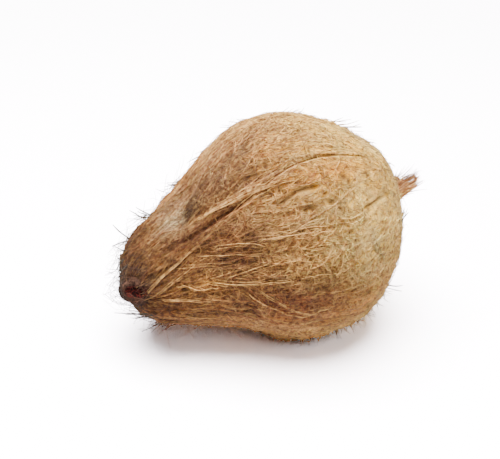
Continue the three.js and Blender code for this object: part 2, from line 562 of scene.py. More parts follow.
class KnobSettings(bpy.types.PropertyGroup):
    radius: length_setting("Radius", "Of the knob's rim", 7 * MM)
    depth: length_setting("Depth", "Of the stub, most of it in the coat", 8 * MM)
    bark_colour: colour_setting("Bark", "Weathered outside", "2e180e")
    hollow_colour: colour_setting("Hollow", "Inside of the scar", "471712")


class StageSettings(bpy.types.PropertyGroup):
    floor_size: length_setting("Floor", "Side of the floor", 8)
    lens: FloatProperty(name="Lens", description="Focal length in millimetres", default=85, min=10)
    distance: length_setting("Distance", "From camera to nut", 0.619)
    azimuth: angle_setting("Azimuth", "Camera's turn", -14)
    elevation: angle_setting("Elevation", "Camera's height", 30)


class CoconutSettings(bpy.types.PropertyGroup):
    coat: PointerProperty(type=CoatSettings)
    fibre: PointerProperty(type=FibreSettings)
    knob: PointerProperty(type=KnobSettings)
    stage: PointerProperty(type=StageSettings)


# ---------------------------------------------------------------- node helpers


def add_node(tree, kind, values=(), **settings):
    """A shader node with its settings, and its input sockets' values or links by name or place."""
    made = tree.nodes.new(kind)
    for key, value in settings.items():
        setattr(made, key, value)
    for key, value in dict(values).items():
        if isinstance(value, bpy.types.NodeSocket):
            tree.links.new(value, made.inputs[key])
        elif isinstance(value, tuple) and made.inputs[key].type == "RGBA":
            made.inputs[key].default_value = (*value[:3], 1)
        else:
            made.inputs[key].default_value = value
    return made


def read_attribute(tree, name, output="Fac"):
    return add_node(tree, "ShaderNodeAttribute", attribute_name=name).outputs[output]


def object_place(tree):
    return add_node(tree, "ShaderNodeTexCoord").outputs["Object"]


def blend_colour(tree, share, first, second, mode="MIX"):
    """Two colours mixed by a share. Returns the mixed colour's socket."""
    given = {0: share, 6: first, 7: second}
    return add_node(tree, "ShaderNodeMix", given, data_type="RGBA", blend_type=mode).outputs[2]


def maths(tree, operation, first, second=0.0, clamp=False):
    given = {0: first, 1: second}
    made = add_node(tree, "ShaderNodeMath", given, operation=operation, use_clamp=clamp)
    return made.outputs[0]


def times(tree, first, second):
    return maths(tree, "MULTIPLY", first, second)


def stepped(tree, value, low, high):
    """0 at low, 1 at high and smooth between. Low may be the greater of the two."""
    given = {"Value": value, "From Min": low, "From Max": high}
    made = add_node(tree, "ShaderNodeMapRange", given, interpolation_type="SMOOTHSTEP")
    return made.outputs[0]


def spread_out(tree, value, bottom, top, low=0.0, high=1.0):
    """A value between low and high, moved evenly to between bottom and top."""
    given = {"Value": value, "From Min": low, "From Max": high, "To Min": bottom, "To Max": top}
    return add_node(tree, "ShaderNodeMapRange", given).outputs[0]


def noise(tree, vector, scale, detail=2.0, roughness=0.5, distortion=0.0):
    given = {"Vector": vector, "Scale": scale, "Detail": detail, "Roughness": roughness}
    given["Distortion"] = distortion
    return add_node(tree, "ShaderNodeTexNoise", given).outputs["Fac"]


def tangle_group():
    """Thin wandering hairs: a mask of the hairs and a mask of the gaps between them, where shade is
    painted.
    """
    if "Tangled hair" in bpy.data.node_groups:
        return bpy.data.node_groups["Tangled hair"]
    tree = bpy.data.node_groups.new("Tangled hair", "ShaderNodeTree")
    tree.interface.new_socket("Vector", in_out="INPUT", socket_type="NodeSocketVector")
    for name, default in (("Scale", 600.0), ("Hair width", 0.05)):
        socket = tree.interface.new_socket(name, in_out="INPUT", socket_type="NodeSocketFloat")
        socket.default_value = default
    for name in ("Hairs", "Gaps"):
        tree.interface.new_socket(name, in_out="OUTPUT", socket_type="NodeSocketFloat")
    given = tree.nodes.new("NodeGroupInput").outputs
    hairs = 0.0
    for shift in ((0, 0, 0), (3.1, 1.7, 5.3), (7.7, 4.9, 2.3)):
        moved = add_node(
            tree, "ShaderNodeVectorMath", {0: given["Vector"], 1: shift}, operation="ADD"
        ).outputs[0]
        wave = noise(tree, moved, given["Scale"], 1.0, 0.4, 1.4)
        off = maths(tree, "ABSOLUTE", maths(tree, "SUBTRACT", wave, 0.5))
        hairs = maths(tree, "MAXIMUM", hairs, stepped(tree, off, given["Hair width"], 0.0))
    grain = noise(tree, given["Vector"], given["Scale"], 3.0, 0.65)
    gaps = times(tree, stepped(tree, grain, 0.52, 0.4), maths(tree, "SUBTRACT", 1.0, hairs))
    out = tree.nodes.new("NodeGroupOutput").inputs
    tree.links.new(hairs, out["Hairs"])
    tree.links.new(gaps, out["Gaps"])
    return tree


def new_material(name, roughness=0.9, specular=0.25):
    """A new material, its node tree and its shader."""
    material = bpy.data.materials.new(name)
    material.use_nodes = True
    shader = material.node_tree.nodes["Principled BSDF"]
    shader.inputs["Roughness"].default_value = roughness
    shader.inputs["Specular IOR Level"].default_value = specular
    return material, material.node_tree, shader


def wire_up(tree, shader, base, rough, height=None, strength=0.0, distance=0.0):
    """Feeds a shader its colour and roughness, and a height in metres as a bump."""
    tree.links.new(base, shader.inputs["Base Color"])
    tree.links.new(rough, shader.inputs["Roughness"])
    if height is not None:
        given = {"Strength": strength, "Distance": distance, "Height": height}
        bump = add_node(tree, "ShaderNodeBump", given)
        tree.links.new(bump.outputs[0], shader.inputs["Normal"])


HAIR_LIGHT = (1.35, 1.35, 1.5)  # how much lighter the coat is where a hair lies
FIBRE_SHADE = hexed("b9a188")  # what a fibre's tint is multiplied by where it is dull


def coat_material(settings):
    """Felt and fibre: hairs and gaps over the coat's colour, with painted shade in the gaps between
    hairs, in the pits and deep places, and along the crease.
    """
    material, tree, shader = new_material("matted_coat")
    colour = read_attribute(tree, "coat_colour", "Color")
    fine = read_attribute(tree, "fineness")
    flow = read_attribute(tree, "fibre_run", "Vector")
    place = object_place(tree)

    def tangle(vector, scale, width):
        given = {"Vector": vector, "Scale": scale, "Hair width": width}
        return add_node(tree, "ShaderNodeGroup", given, node_tree=tangle_group()).outputs

    curled = tangle(place, settings.hair_scale * 0.42, 0.05)
    lying = tangle(flow, settings.hair_scale * 0.8, 0.07)
    streak = noise(tree, flow, settings.hair_scale * 1.3, 4.0, 0.6)
    mottle = noise(tree, place, 150.0, 4.0, 0.55)
    speck = noise(tree, place, 420.0, 3.0, 0.6)
    beside = maths(tree, "ABSOLUTE", read_attribute(tree, "crease_offset"))
    coarse = maths(tree, "SUBTRACT", 1.1, fine, True)
    pits = times(tree, stepped(tree, speck, 0.42, 0.33), coarse)

    pit = blend_colour(tree, fine, tuple(settings.pit_colour), tuple(settings.fine_pit_colour))
    hair = tuple(settings.hair_colour)
    shade = blend_colour(tree, stepped(tree, mottle, 0.3, 0.7), colour, hair, "SOFT_LIGHT")
    dark = blend_colour(tree, 0.5, shade, pit)
    light = blend_colour(tree, 1.0, shade, HAIR_LIGHT, "MULTIPLY")
    base = shade
    # The streaks vary the fibre's tone and the hairs are paler; the gaps, pits, deep places and the
    # line along the crease are painted shade.
    for mask, amount, tone in (
        (stepped(tree, streak, 0.62, 0.36), 0.6, dark),
        (curled["Gaps"], 0.5, dark),
        (lying["Hairs"], 0.5, light),
        (curled["Hairs"], 0.4, light),
        (pits, 0.5, pit),
        (read_attribute(tree, "depth"), 0.7, pit),
        (stepped(tree, beside, 1.7, 0.5), 0.65, pit),
    ):
        base = blend_colour(tree, times(tree, mask, amount), base, tone)

    height = maths(tree, "ADD", times(tree, curled["Hairs"], 0.5), times(tree, lying["Hairs"], 0.4))
    height = maths(tree, "ADD", height, times(tree, streak, 0.6))
    height = maths(tree, "SUBTRACT", height, times(tree, pits, 0.8))
    rough = spread_out(tree, curled["Hairs"], 0.95, 0.75)
    wire_up(tree, shader, base, rough, height, 0.8, 0.4 * MM)
    return material


def fibre_material():
    """Dry fibre, in the tint that each fibre carries."""
    if "dry_fibre" in bpy.data.materials:
        return bpy.data.materials["dry_fibre"]
    material, tree, shader = new_material("dry_fibre", 0.62, 0.35)
    tint = read_attribute(tree, "tint", "Color")
    patchy = noise(tree, object_place(tree), 480.0, 3.0, 0.6)
    darker = blend_colour(tree, 1.0, tint, FIBRE_SHADE, "MULTIPLY")
    base = blend_colour(tree, stepped(tree, patchy, 0.58, 0.38), tint, darker)
    wire_up(tree, shader, base, spread_out(tree, patchy, 0.5, 0.8, 0.3, 0.7))
    return material


# ---------------------------------------------------------------- mesh helpers


def clear_selection():
    if bpy.context.object and bpy.context.object.mode != "OBJECT":
        bpy.ops.object.mode_set(mode="OBJECT")
    bpy.ops.object.select_all(action="DESELECT")


def finish_piece(piece, name):
    """Names a piece and attaches it to its body."""
    piece.name = piece.data.name = name
    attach(piece, BODY)
    return piece


def mesh_points(mesh):
    points = np.zeros(len(mesh.vertices) * 3, np.float32)
    mesh.vertices.foreach_get("co", points)
    return points.reshape(-1, 3).astype(float)


def set_mesh_points(mesh, points):
    mesh.vertices.foreach_set("co", points.astype(np.float32).ravel())


def set_attribute(mesh, name, kind, values):
    """Keeps a number, a vector or a colour for each point of a mesh."""
    key = {"FLOAT": "value", "FLOAT_VECTOR": "vector", "FLOAT_COLOR": "color"}[kind]
    if kind == "FLOAT_COLOR":
        values = np.concatenate((values, np.ones((len(values), 1))), 1)
    made = mesh.attributes.new(name, kind, "POINT")
    made.data.foreach_set(key, values.astype(np.float32).ravel())


# Where a fibre's sides and ends lie on the square of map that it has to itself.
SIDE_MAP = (0.08, 0.92)
ROOT_MAP = (0.01, 0.06)
TIP_MAP = (0.94, 0.99)
END_MAP = (0.1, 0.5, 0.9)
MAP_MARGIN = 0.06


def fibre_pattern(rings):
    """One fibre, modelled once: a closed three-sided rod of so many rings. Returns each corner's
    ring and angle, and its faces as corner numbers with their place on the fibre's own map."""
    clear_selection()
    bpy.ops.mesh.primitive_circle_add(vertices=3, radius=1, fill_type="NGON", location=(0, 0, 0))
    bpy.ops.object.mode_set(mode="EDIT")
    bpy.ops.mesh.select_all(action="SELECT")
    for _ in range(rings - 1):
        bpy.ops.mesh.extrude_region_move(TRANSFORM_OT_translate={"value": (0, 0, 1)})
    bpy.ops.mesh.select_all(action="SELECT")
    bpy.ops.mesh.normals_make_consistent(inside=False)
    bpy.ops.object.mode_set(mode="OBJECT")
    rod = bpy.context.object
    ring = np.array([round(v.co.z) for v in rod.data.vertices])
    angle = np.array([math.atan2(v.co.y, v.co.x) for v in rod.data.vertices])
    first = angle[ring == 0].min()
    side = np.round((angle - first) / (TAU / 3)).astype(int) % 3
    faces, maps = [], []
    for face in rod.data.polygons:
        corners = list(face.vertices)
        sides, levels = side[corners], ring[corners]
        if len(corners) == 3:
            ends = ROOT_MAP if levels[0] == 0 else TIP_MAP
            maps.append([(ends[s == 1], END_MAP[s]) for s in sides])
        else:
            wraps = set(sides.tolist()) == {0, 2}
            across = [3 if wraps and s == 0 else s for s in sides]
            lengthwise = np.interp(levels, (0, rings - 1), SIDE_MAP)
            maps.append([(u, v / 3) for u, v in zip(lengthwise, across)])
        faces.append(corners)
    bpy.data.objects.remove(rod)
    return ring, angle, faces, maps


def lay_fibres(name, paths, normals, radii, tints):
    """A piece of many fibres: each is the one pattern, bent along its own path."""
    count, rings = paths.shape[:2]
    ring, angle, faces, maps = fibre_pattern(rings)
    paths = paths.copy()
    paths[..., 2] = np.maximum(paths[..., 2], radii + 0.05 * MM)
    ways = unit(np.gradient(paths, axis=1))
    across = unit(np.cross(ways, normals))
    upward = np.cross(across, ways)
    rim = np.sin(angle)[:, None] * upward[:, ring] - np.cos(angle)[:, None] * across[:, ring]
    corners = (paths[:, ring] + rim * radii[:, ring, None]).reshape(-1, 3)
    corners[:, 2] = np.maximum(corners[:, 2], 0.01 * MM)

    mesh = bpy.data.meshes.new(name)
    mesh.vertices.add(len(corners))
    set_mesh_points(mesh, corners)
    loops = (np.arange(count)[:, None] * len(ring) + np.concatenate(faces)).ravel()
    mesh.loops.add(len(loops))
    mesh.loops.foreach_set("vertex_index", loops.astype(np.int32))
    sizes = np.tile([len(face) for face in faces], count)
    starts = np.concatenate(([0], np.cumsum(sizes)[:-1]))
    mesh.polygons.add(len(starts))
    mesh.polygons.foreach_set("loop_start", starts.astype(np.int32))
    mesh.polygons.foreach_set("use_smooth", np.ones(len(starts), bool))
    mesh.update(calc_edges=True)

    across_cells = math.ceil(math.sqrt(count))
    cell = np.stack(np.divmod(np.arange(count), across_cells)[::-1], -1)
    spots = np.concatenate([np.array(m) for m in maps])
    layout = (cell[:, None] + MAP_MARGIN + (1 - 2 * MAP_MARGIN) * spots) / across_cells
    mesh.uv_layers.new(name="OFBake").uv.foreach_set("vector", layout.astype(np.float32).ravel())
    set_attribute(mesh, "tint", "FLOAT_COLOR", tints[:, ring].reshape(-1, 3))
    piece = bpy.data.objects.new(name, mesh)
    bpy.context.scene.collection.objects.link(piece)
    mesh.materials.append(fibre_material())
    mesh.validate()
    return finish_piece(piece, name)


# ---------------------------------------------------------------- how fibres grow


def scatter(rng, count, weight):
    """Random places on the coat, as runs and turns, more of them where the weight is more."""
    clear = 1 - 0.85 * np.maximum(coat.pits, coat.creases)
    share = (coat.girth * weight * clear)[:-1].ravel()
    picks = rng.choice(len(share), count, p=share / share.sum())
    i, j = np.divmod(picks, SPOKES)
    return (i + rng.random(count)) / RINGS, (j + rng.random(count)) * TAU / SPOKES


def grow(run, turn, heading, length, rings, bend, wander, rng):
    """Routes over the coat, ring by ring. Heading is 0 towards the frayed point."""
    step = length / (rings - 1)
    runs, turns = [], []
    for _ in range(rings):
        runs.append(run)
        turns.append(turn)
        girth = np.maximum(coat.read(coat.girth, run, turn), 3 * MM)
        run = run + step * np.cos(heading) / coat.length
        turn = turn + step * np.sin(heading) / girth
        heading = heading + bend + wander * rng.standard_normal(len(run))
    return np.stack(runs, 1), np.stack(turns, 1)


def clear_of_creases(rng, runs, turns):
    """The routes that keep out of the creases, and a few that bridge them."""
    at = np.linspace(0, runs.shape[1] - 1.001, 4 * runs.shape[1])
    low, share = at.astype(int), at % 1
    close_runs, close_turns = (
        routes[:, low] * (1 - share) + routes[:, low + 1] * share for routes in (runs, turns)
    )
    creases = coat.read(coat.creases, close_runs, close_turns)
    flecks = coat.read(coat.flecks, close_runs, close_turns)
    shade = np.maximum(creases, 0.8 * flecks).max(1)
    opened = crease_opening(coat.read(coat.along_mm, runs[:, 0], turns[:, 0]))
    kept = (shade < 0.35 + 0.5 * opened) | (rng.random(len(runs)) < 0.05)
    return runs[kept], turns[kept]


def raise_routes(runs, turns, heights):
    """Points and normals of routes at heights above the coat."""
    normals = unit(coat.read(coat.normals, runs, turns))
    return coat.read(coat.points, runs, turns) + normals * heights[..., None], normals


DARKEST, PALEST = 0.002, 0.95  # that a fibre may be


def fibre_tints(rng, settings, runs, turns, lift, spread, pale, dark):
    """Each fibre's colour at each ring: the coat's own, lifted, then varied, some pale and some
    dark. Fibres that lie together are alike, and those in a crease or over a pit get painted shade."""
    count = len(runs)
    local = coat.read(coat.colour, runs, turns)
    colour = 0.85 * local + 0.15 * local.mean(1, keepdims=True)
    lock = coat.read(coat.locks, runs[:, :1], turns[:, :1])[..., None]
    colour = colour * lift * np.exp(spread * rng.standard_normal((count, 1, 1)) + 0.13 * lock)
    colour = mixed(colour, settings.pale_colour, rng.random((count, 1)) ** 2.2 * pale)
    murk = (rng.random((count, 1, 1)) < dark) * rng.uniform(0.35, 0.85, (count, 1, 1))
    colour = colour * (1 - murk) + (0.4 * colour + 0.3 * np.array(settings.dark_colour)) * murk
    colour = colour * np.exp(0.04 * rng.standard_normal((count, 1, 3)))
    nose = 0.35 + 0.65 * smooth(-98, -88, coat.read(coat.along_mm, runs, turns))
    creases, pits = (coat.read(each, runs, turns) for each in (coat.creases, coat.pits))
    shade = np.maximum(0.35 * creases, 0.5 * pits)
    return np.clip(colour * nose[..., None] * (1 - shade[..., None]), DARKEST, PALEST)


def tapered(radius, rings, root=0.8, tip=0.35):
    """Each fibre's radius at each ring."""
    shape = np.interp(np.linspace(0, 1, rings), (0, 0.15, 0.7, 1), (root, 1, 0.95, tip))
    return radius[:, None] * shape


# Where the tuft's fibres lean: a place, a spread and a lean in radians, more than 0 downwards.
TUFT_PARTINGS = (
    ((-64, 54), (22, 17), -0.42),
    ((-50, 88), (20, 14), 0.12),
    ((-28, 100), (16, 12), 0.4),
    ((-60, 190), (22, 20), 0.3),
    ((-60, 290), (22, 20), -0.3),
)


def tuft_lean(along_mm, turn):
    """How far the tuft's fibres lean from the nut's length, in radians."""
    return sum(lean * patch(along_mm, turn, at, spread) for at, spread, lean in TUFT_PARTINGS)


class Layer(NamedTuple):
    """How one layer of fibres lies on the coat. Sizes are in millimetres."""

    name: str
    seed: int
    rings: int  # corners of each fibre's path
    radius: tuple  # thinnest and thickest
    tone: tuple  # brightness, how much it varies, how pale, and the share that are dark
    foot: float  # the height of the ends
    held: float = 0.0  # the share of the lift that the ends have too
    arch: float = 1.0  # less than 1 lifts more of the length
    wobble: float = 0.0  # how uneven the height is
    most: int = 10000  # fibres in one piece


COMBED = Layer("combed_fibre", 101, 8, (0.12, 0.24), (1.0, 0.19, 0.3, 0.2), -0.1, 0.25, 1, 0.12, 4400)
MATTED = Layer("matted_fibre", 102, 7, (0.11, 0.2), (0.87, 0.18, 0.25, 0.24), -0.15, 0.3, 1, 0.1, 5100)
FELTED = Layer("felted_fibre", 103, 5, (0.07, 0.14), (1.06, 0.14, 0.25, 0.09), -0.06, 0.3, most=7600)
CURLS = Layer("matted_curls", 107, 10, (0.14, 0.23), (1.08, 0.18, 0.5, 0.1), 0.05, arch=0.7, most=3400)
LIPS = Layer("crease_lips", 108, 9, (0.1, 0.19), (1.12, 0.18, 0.65, 0.08), 0.05, arch=0.6)


def lay_layer(rng, settings, layer, runs, turns, lift):
    """Lays a fibre along each route, with its middle raised by its own lift."""
    count, rings = runs.shape
    arc = np.sin(np.linspace(0, math.pi, rings)) ** layer.arch
    heights = layer.foot * MM + lift[:, None] * (layer.held + (1 - layer.held) * arc)
    if layer.wobble:
        heights = heights + layer.wobble * MM * rng.standard_normal((count, rings))
    paths, normals = raise_routes(runs, turns, heights)
    radii = tapered(rng.uniform(*layer.radius, count) * MM, rings)
    tints = fibre_tints(rng, settings, runs, turns, *layer.tone)
    parts = math.ceil(count / layer.most)
    for k, part in enumerate(np.array_split(np.arange(count), parts)):
        name = f"{layer.name}_{k + 1}" if parts > 1 else layer.name
        lay_fibres(name, paths[part], normals[part], radii[part], tints[part])


# ---------------------------------------------------------------- the pieces


class COCONUT_OT_coat(bpy.types.Operator):
    """Make the matted coat's own surface"""

    bl_idname = "coconut.coat"
    bl_label = "Matted coat"

    def execute(self, context):
        clear_selection()
        bpy.ops.mesh.primitive_uv_sphere_add(
            segments=SPOKES, ring_count=RINGS, radius=1, calc_uvs=True
        )
        piece = context.object
        mesh = piece.data
        ball = mesh_points(mesh)
        run = np.arccos(np.clip(-ball[:, 2], -1, 1)) / math.pi
        turn = np.arctan2(ball[:, 1], ball[:, 0])
        set_mesh_points(mesh, coat.read(coat.points, run, turn))
        mesh.uv_layers.active.name = "OFBake"
        fine = coat.read(coat.fine, run, turn)
        along_mm, girth = coat.read(coat.along_mm, run, turn), coat.read(coat.girth, run, turn)
        # Painted shade: the coat under the fibres is darker where it is coarse, so the gaps between
        # fibres read as shaded.
        colour = coat.read(coat.colour, run, turn) * (0.55 + 0.37 * fine)[:, None]
        # Painted shade: how deep each place lies in the crease, the cracks and the pits, which the
        # coat's material darkens.
        depth = np.maximum(
            0.7 * creased(along_mm, turn, girth), coat.read(coat.pits, run, turn)
        )
        waist = 55 * MM
        stretch = 0.13  # of the hairs' pattern along the fibres
        flow = (run * coat.length * stretch, np.cos(turn) * waist, np.sin(turn) * waist)
        for name, kind, values in (
            ("coat_colour", "FLOAT_COLOR", colour),
            ("fineness", "FLOAT", fine),
            ("depth", "FLOAT", depth),
            ("crease_offset", "FLOAT", crease_offset(along_mm, turn, girth)),
            ("fibre_run", "FLOAT_VECTOR", np.stack(flow, -1)),
        ):
            set_attribute(mesh, name, kind, values)
        bpy.ops.object.shade_smooth()
        mesh.materials.append(coat_material(context.scene.coconut.coat))
        finish_piece(piece, "matted_coat")
        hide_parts(NODE)
        return {"FINISHED"}


class COCONUT_OT_combed(bpy.types.Operator):
    """Lay the long combed fibres of the tuft"""

    bl_idname = "coconut.combed"
    bl_label = "Combed fibres"

    def execute(self, context):
        settings = context.scene.coconut.fibre
        rng = np.random.default_rng(COMBED.seed)
        weight = (1 - smooth(-42, 6, coat.along_mm)) * (0.25 + 0.75 * (1 - coat.fine))
        weight = weight * smooth(-95, -88, coat.along_mm)
        run, turn = scatter(rng, settings.combed, weight + 0.002)
        count = len(run)
        sway = coat.read(Clumps(111, 17 * MM)(coat.smooth_points), run, turn)
        heading = 0.15 * sway + 0.13 * rng.standard_normal(count)
        heading = heading + tuft_lean(coat.read(coat.along_mm, run, turn), turn)
        length = rng.gamma(5, 5.4 * MM, count).clip(10 * MM, 62 * MM)
        run = run - 0.35 * length / coat.length
        run = np.where(run < 0.02, rng.uniform(0.015, 0.05, count), run)
        bend = 0.03 * rng.standard_normal(count)
        routes = grow(run, turn, heading, length, COMBED.rings, bend, 0.08, rng)
        runs, turns = clear_of_creases(rng, *routes)
        lift = rng.gamma(1.6, 0.42 * MM, len(runs))
        lay_layer(rng, settings, COMBED, runs, turns, lift)
        return {"FINISHED"}


class COCONUT_OT_matted(bpy.types.Operator):
    """Lay the curled fibres of the mat"""

    bl_idname = "coconut.matted"
    bl_label = "Matted fibres"

    def execute(self, context):
        settings = context.scene.coconut.fibre
        rng = np.random.default_rng(MATTED.seed)
        weight = smooth(-72, -38, coat.along_mm) * (1 - smooth(30, 60, coat.along_mm))
        run, turn = scatter(rng, settings.matted, weight * (1.15 - coat.fine) + 0.004)
        count = len(run)
        sway = coat.read(Clumps(112, 8 * MM)(coat.smooth_points), run, turn)
        heading = 0.55 * sway + 0.5 * rng.standard_normal(count)
        heading = heading + math.pi * (rng.random(count) < 0.3)
        length = rng.gamma(4, 3.1 * MM, count).clip(4 * MM, 30 * MM)
        bend = rng.normal(0, 0.36, count)
        routes = grow(run, turn, heading, length, MATTED.rings, bend, 0.2, rng)
        runs, turns = clear_of_creases(rng, *routes)
        lift = rng.gamma(1.5, 0.3 * MM, len(runs))
        lay_layer(rng, settings, MATTED, runs, turns, lift)
        return {"FINISHED"}


class COCONUT_OT_curls(bpy.types.Operator):
    """Lay the pale curls on top of the mat"""

    bl_idname = "coconut.curls"
    bl_label = "Curls"

    def execute(self, context):
        settings = context.scene.coconut.fibre
        rng = np.random.default_rng(CURLS.seed)
        weight = smooth(-66, -40, coat.along_mm) * (1 - smooth(18, 58, coat.along_mm))
        run, turn = scatter(rng, settings.curls, weight * (1.12 - coat.fine) + 0.003)
        count = len(run)
        sway = coat.read(Clumps(114, 9 * MM)(coat.smooth_points), run, turn)
        heading = 0.6 * sway + 0.55 * rng.standard_normal(count)
        length = rng.gamma(4, 3.6 * MM, count).clip(5 * MM, 32 * MM)
        bend = rng.normal(0, 0.22, count) + 0.2 * np.sign(rng.standard_normal(count))
        routes = grow(run, turn, heading, length, CURLS.rings, bend, 0.16, rng)
        runs, turns = clear_of_creases(rng, *routes)
        lift = rng.uniform(0.5, 1.5, len(runs)) * MM
        lay_layer(rng, settings, CURLS, runs, turns, lift)
        return {"FINISHED"}


class COCONUT_OT_felted(bpy.types.Operator):
    """Lay the short close fibres of the round side"""

    bl_idname = "coconut.felted"
    bl_label = "Felted fibres"

    def execute(self, context):
        settings = context.scene.coconut.fibre
        rng = np.random.default_rng(FELTED.seed)
        weight = 0.15 + coat.fine * smooth(-60, -30, coat.along_mm)
        run, turn = scatter(rng, settings.felted, weight)
        count = len(run)
        sway = coat.read(Clumps(113, 10 * MM)(coat.smooth_points), run, turn)
        heading = 0.35 * sway + 0.38 * rng.standard_normal(count)
        heading = heading + math.pi * (rng.random(count) < 0.4)
        length = rng.gamma(4, 2.1 * MM, count).clip(3 * MM, 20 * MM)
        bend = rng.normal(0, 0.14, count)
        routes = grow(run, turn, heading, length, FELTED.rings, bend, 0.1, rng)
        runs, turns = clear_of_creases(rng, *routes)
        lift = rng.gamma(1.5, 0.16 * MM, len(runs))
        lay_layer(rng, settings, FELTED, runs, turns, lift)
        return {"FINISHED"}


# Strands that stand out: the radius of each in millimetres, then places along it, in
# millimetres along and degrees of turn.
MARKED_STRANDS = (
    (
        0.24,
        ((-81.9, 69.9), (-76.9, 64.6), (-70.8, 59.4), (-66, 56.5),
         (-61.3, 53.9), (-48.4, 47.7), (-38.1, 44.1)),
    ),
    (
        0.22,
        ((-84.7, 76.1), (-79.1, 68.5), (-73.4, 62.2), (-68, 58.7),
         (-62.8, 56.2), (-57.7, 51.7), (-52.1, 48)),
    ),
    (0.2, ((-79, 79.3), (-71.9, 72.6), (-64.2, 66.7), (-56.7, 61.9), (-48.9, 58.8))),
    (
        0.31,
        ((-57.2, 75.7), (-45.3, 80.8), (-38.9, 82.3), (-32.5, 83.3),
         (-26, 83.9), (-20.3, 83.5), (-12.4, 85)),
    ),
    (
        0.31,
        ((-41.8, 82.2), (-32.8, 94.2), (-25.5, 101.7), (-21.7, 104.8),
         (-17.2, 107.7), (-13, 109.6), (-9.4, 109)),
    ),
    (0.2, ((-14.6, 111), (-10.4, 108.6), (-6.3, 107.6), (-1.6, 107.1), (3.1, 106.8))),
    (
        0.24,
        ((-54.1, 56.8), (-48, 59.3), (-42.5, 61.7), (-37.8, 62.8),
         (-34.2, 64.2), (-31.3, 66.5)),
    ),
    (
        0.2,
        ((-44.4, 55), (-39.2, 56.2), (-35.3, 56.8), (-31.4, 58.8),
         (-26.8, 60.1), (-24, 62.2), (-21.7, 64.7)),
    ),
    (
        0.24,
        ((-44.7, 77.3), (-40.5, 75.7), (-36.1, 75), (-31.6, 74.1),
         (-27.7, 73.6), (-24.8, 73.2), (-22.6, 72.1)),
    ),
    (
        0.38,
        ((-53.3, 31), (-47.9, 31.9), (-41.6, 33.5), (-35.4, 34.7),
         (-22.8, 34.9), (-15.5, 34.9), (-4.9, 35.3)),
    ),
    (
        0.32,
        ((-50, 32.5), (-41, 34.4), (-35, 35.6), (-28, 35.7),
         (-21, 35.8), (-14, 36), (-8, 36.2)),
    ),
    (0.3, ((-32.5, 38.5), (-26, 37.4), (-19, 36.6), (-13, 36.8), (-6.7, 37.6))),
    (0.2, ((-66.5, 58.9), (-60.8, 61.9), (-55, 63.7), (-49.3, 65.8), (-45.1, 69.2))),
    (0.22, ((-66.7, 72.7), (-61.6, 78.2), (-56.3, 82.3), (-50.4, 82.6), (-45.6, 82.5))),
    (0.2, ((-78.5, 83.4), (-72.6, 84.8), (-66.4, 87.3), (-60.4, 90.5), (-54.8, 92.3))),
    (0.2, ((-78.1, 105.5), (-71.1, 109.2), (-64, 112.2), (-56.7, 111.6), (-49.4, 109.4))),
    (
        0.22,
        ((-22.8, -13.2), (-18.4, -11.3), (-13.5, -10.1), (-8, -9.8),
         (-3, -10.1), (1.4, -10.8), (5.4, -9.9)),
    ),
    (0.2, ((-17.1, -6.7), (-11.9, -7.1), (-6.9, -7.6), (-2.5, -7.9))),
)
HAIR_REACH = 9 * MM  # no hair goes farther past the solid than this
SMOOTHINGS = 2
# A marked strand and the thinner ones beside it: degrees to the side, and share of its radius.
STRAND_GROUP = ((0, 1.2), (0.75, 0.7), (-0.95, 0.55))


def marked_strands(rng, rings):
    """Runs, turns and radii of the marked strands and of those that lie beside them."""
    runs, turns, radii = [], [], []
    for radius, places in MARKED_STRANDS:
        at = np.linspace(0, len(places) - 1, rings)
        along_mm, turn = (np.interp(at, range(len(places)), each) for each in zip(*places))
        turn = np.radians(turn)
        for route in (along_mm, turn):
            for _ in range(SMOOTHINGS):
                route[1:-1] = (route[:-2] + 2 * route[1:-1] + route[2:]) / 4
        for k, (apart, share) in enumerate(STRAND_GROUP):
            apart = apart * (1 + np.linspace(0.6, -0.4, rings)) * rng.uniform(0.6, 1.3)
            runs.append(coat.run_at(along_mm + 4 * (k > 0) * rng.normal()))
            turns.append(turn + np.radians(apart))
            radii.append(radius * share * MM)
    return np.array(runs), np.array(turns), np.array(radii)


class COCONUT_OT_strands(bpy.types.Operator):
    """Lay the thick pale strands that stand out on top"""

    bl_idname = "coconut.strands"
    bl_label = "Pale strands"

    def execute(self, context):
        settings = context.scene.coconut.fibre
        rng = np.random.default_rng(104)
        rings = 14
        marked_runs, marked_turns, marked_radii = marked_strands(rng, rings)
        weight = smooth(-92, -70, coat.along_mm) * (1 - smooth(-30, 10, coat.along_mm)) + 0.004
        run, turn = scatter(rng, settings.pale, weight)
        heading = 0.22 * rng.standard_normal(len(run))
        heading = heading + tuft_lean(coat.read(coat.along_mm, run, turn), turn)
        length = rng.gamma(6, 4.6 * MM, len(run)).clip(12 * MM, 60 * MM)
        bend = rng.normal(0, 0.05, len(run))
        routes = grow(run, turn, heading, length, rings, bend, 0.05, rng)
        other_runs, other_turns = clear_of_creases(rng, *routes)
        runs = np.concatenate((marked_runs, other_runs))
        turns = np.concatenate((marked_turns, other_turns))
        count, marked, others = len(runs), len(marked_runs), len(other_runs)
        lift = np.concatenate((rng.uniform(1.7, 2.1, marked), rng.uniform(0.5, 1.6, others))) * MM
        arc = np.minimum(1, 2.2 * np.sin(np.linspace(0, math.pi, rings)))
        paths, normals = raise_routes(runs, turns, lift[:, None] * arc + 0.1 * MM)
        radii = np.concatenate((marked_radii, rng.uniform(0.13, 0.22, others) * MM))
        tints = fibre_tints(rng, settings, runs, turns, 1.1, 0.12, 0.5, 0.0)
        share = np.where(np.arange(count) < marked, 0.5, rng.uniform(0.05, 0.35, count))
        tints = mixed(tints, settings.pale_colour, share[:, None])
        lay_fibres("pale_strands", paths, normals, tapered(radii, rings), tints)
        return {"FINISHED"}


